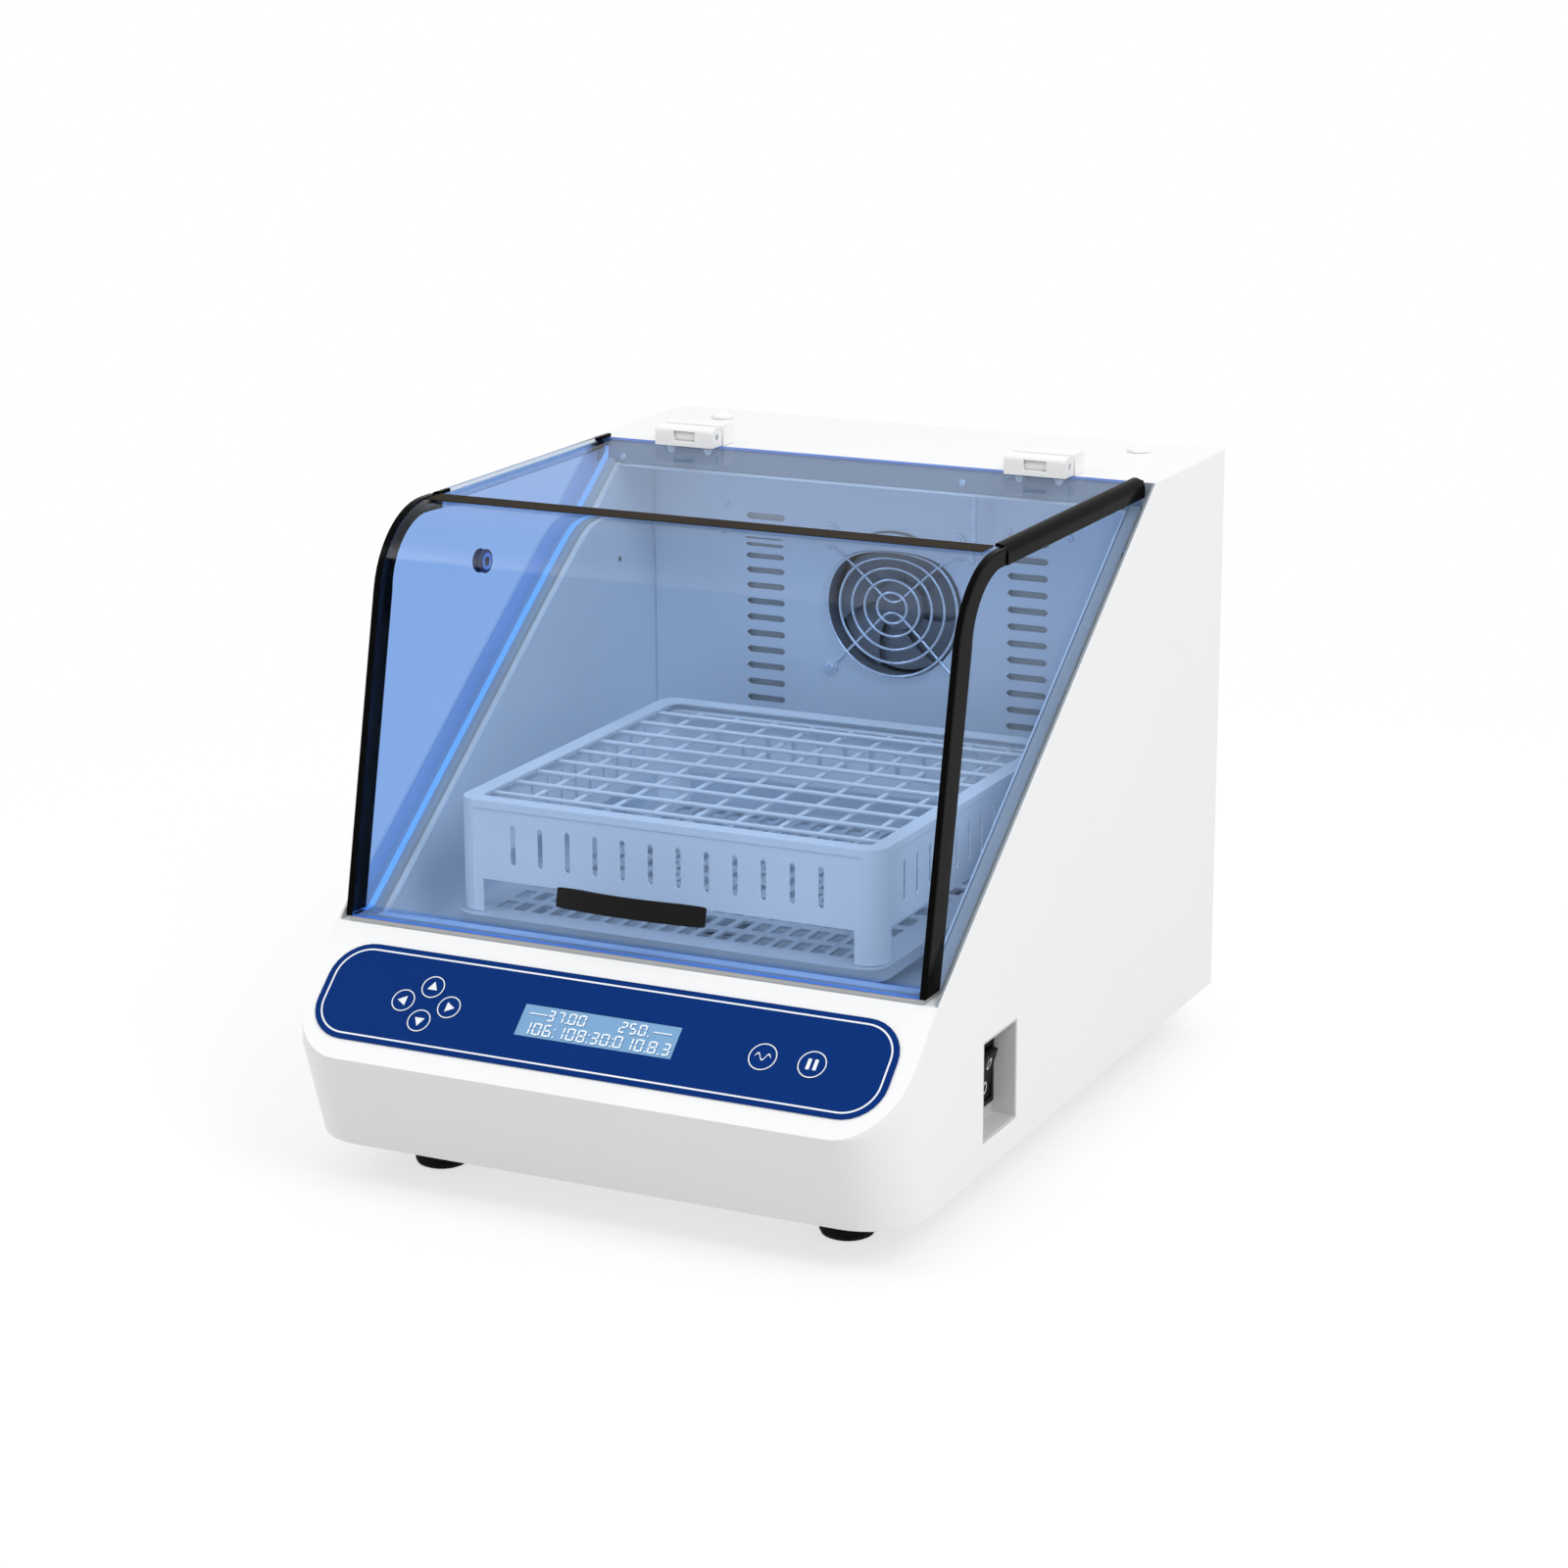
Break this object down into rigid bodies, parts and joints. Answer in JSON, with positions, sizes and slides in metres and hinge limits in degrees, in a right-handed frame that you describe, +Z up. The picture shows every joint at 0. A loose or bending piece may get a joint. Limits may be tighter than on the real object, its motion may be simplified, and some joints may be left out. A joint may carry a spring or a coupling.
{
  "type": "shaking incubator",
  "caption": "Benchtop shaking incubator with a wedge-shaped casing, sloped key panel, bent tinted lid on friction hinges and an orbiting wire tube rack.",
  "frame": {"origin": "centre of the overall box on the bench plane, under the feet", "axes": "+Z up; +X to the right of someone facing the control panel; the panel faces -Y"},
  "size_m": [0.4618, 0.6184, 0.4734],
  "materials": {
    "black_plastic": "fine grain",
    "black_trim": "gloss black",
    "blue_acrylic": "clear tinted, polished",
    "bright_wire": "bright plated wire",
    "cast_metal": "as cast",
    "circuit_board": "board",
    "grey_seal": "matt grey",
    "navy_label": "satin printed film",
    "rack_paint": "pale satin powder coat",
    "rubber": "matt",
    "screen_glass": "polished window",
    "stainless": "brushed",
    "steel": "machined",
    "white_paint": "fine satin white enamel",
    "white_plastic": "smooth",
    "zinc_plate": "plain plated sheet"
  },
  "bodies": {
    "root": {"base_pan": "zinc_plate", "belt": "rubber", "chamber_liner": "stainless", "chamber_rear_wall": "stainless", "control_board": "circuit_board", "control_overlay": "navy_label", "display_module": "screen_glass", "drive_deck": "cast_metal", "fan_frame": "black_plastic", "fan_guard": "bright_wire", "foot_front_left": "rubber", "foot_front_right": "rubber", "foot_rear_left": "rubber", "foot_rear_right": "rubber", "heater_coil": "steel", "hinge_base_left": "white_plastic", "hinge_base_right": "white_plastic", "hinge_pin_left": "steel", "hinge_pin_right": "steel", "lid_seal": "grey_seal", "lid_switch_pin": "steel", "mains_inlet": "black_plastic", "motor": "cast_metal", "outer_casing": "white_paint", "power_supply": "zinc_plate", "rear_cover": "white_paint", "switch_frame": "black_plastic", "switch_housing": "white_plastic", "temperature_probe": "bright_wire", "top_plug_left": "white_plastic", "top_plug_right": "white_plastic"},
    "lid": {"hinge_leaf_left": "white_plastic", "hinge_leaf_right": "white_plastic", "lid_front_sheet": "blue_acrylic", "lid_front_trim_left": "black_trim", "lid_front_trim_right": "black_trim", "lid_handle": "black_plastic", "lid_seam_strip": "black_trim", "lid_side_left": "blue_acrylic", "lid_side_right": "blue_acrylic", "lid_top_sheet": "blue_acrylic", "lid_top_trim_left": "black_trim", "lid_top_trim_right": "black_trim", "probe_port_grommet": "black_trim"},
    "main_crank": {"main_crank": "steel"},
    "idler_left": {"idler_crank_left": "steel"},
    "idler_right": {"idler_crank_right": "steel"},
    "motor_pulley": {"motor_pulley": "steel"},
    "fan": {"fan_impeller": "black_plastic"},
    "platform": {"rack_body": "rack_paint", "rack_wires_x": "rack_paint", "rack_wires_y": "rack_paint", "shaking_platform": "rack_paint"},
    "rocker": {"power_rocker": "black_plastic"},
    "key_up": {"key_up": "navy_label"},
    "key_left": {"key_left": "navy_label"},
    "key_right": {"key_right": "navy_label"},
    "key_down": {"key_down": "navy_label"},
    "key_run": {"key_run": "navy_label"},
    "key_stop": {"key_stop": "navy_label"}
  },
  "joints": [
    {"name": "lid_hinge", "type": "hinge", "parent": "root", "child": "lid", "pos_m": [0, 0.1504, 0.46565], "axis": [-1, 0, 0], "range_deg": [0, 95]},
    {"name": "crank_turn", "type": "hinge", "parent": "root", "child": "main_crank", "pos_m": [0, -0.07845, 0.164], "axis": [0, 0, 1], "continuous": true},
    {"name": "platform_pivot", "type": "hinge", "parent": "main_crank", "child": "platform", "pos_m": [0.00342, -0.08785, 0.164], "axis": [0, 0, 1], "continuous": true},
    {"name": "fan_turn", "type": "hinge", "parent": "root", "child": "fan", "pos_m": [0, 0.2154, 0.333], "axis": [0, 1, 0], "continuous": true},
    {"name": "motor_turn", "type": "hinge", "parent": "root", "child": "motor_pulley", "pos_m": [-0.1, -0.07845, 0.117], "axis": [0, 0, 1], "continuous": true},
    {"name": "idler_left_turn", "type": "hinge", "parent": "root", "child": "idler_left", "pos_m": [-0.11, 0.06155, 0.164], "axis": [0, 0, 1], "continuous": true},
    {"name": "idler_right_turn", "type": "hinge", "parent": "root", "child": "idler_right", "pos_m": [0.11, 0.06155, 0.164], "axis": [0, 0, 1], "continuous": true},
    {"name": "key_up_press", "type": "slide", "parent": "root", "child": "key_up", "axis": [0, 0.6604, -0.7509], "range_m": [0, 0.0005], "stiffness_N_per_m": 1000, "springref_m": -0.0005},
    {"name": "key_left_press", "type": "slide", "parent": "root", "child": "key_left", "axis": [0, 0.6604, -0.7509], "range_m": [0, 0.0005], "stiffness_N_per_m": 1000, "springref_m": -0.0005},
    {"name": "key_right_press", "type": "slide", "parent": "root", "child": "key_right", "axis": [0, 0.6604, -0.7509], "range_m": [0, 0.0005], "stiffness_N_per_m": 1000, "springref_m": -0.0005},
    {"name": "key_down_press", "type": "slide", "parent": "root", "child": "key_down", "axis": [0, 0.6604, -0.7509], "range_m": [0, 0.0005], "stiffness_N_per_m": 1000, "springref_m": -0.0005},
    {"name": "key_run_press", "type": "slide", "parent": "root", "child": "key_run", "axis": [0, 0.6604, -0.7509], "range_m": [0, 0.0005], "stiffness_N_per_m": 1000, "springref_m": -0.0005},
    {"name": "key_stop_press", "type": "slide", "parent": "root", "child": "key_stop", "axis": [0, 0.6604, -0.7509], "range_m": [0, 0.0005], "stiffness_N_per_m": 1000, "springref_m": -0.0005},
    {"name": "rocker_tilt", "type": "hinge", "parent": "root", "child": "rocker", "pos_m": [0.2117, -0.1066, 0.0878], "axis": [0, -1, 0], "range_deg": [0, 20]}
  ],
  "couplings": [
    {"joint": "platform_pivot", "follows": "crank_turn", "ratio": -1},
    {"joint": "idler_left_turn", "follows": "crank_turn", "ratio": 1},
    {"joint": "idler_right_turn", "follows": "crank_turn", "ratio": 1},
    {"joint": "motor_turn", "follows": "crank_turn", "ratio": 3.3333}
  ]
}
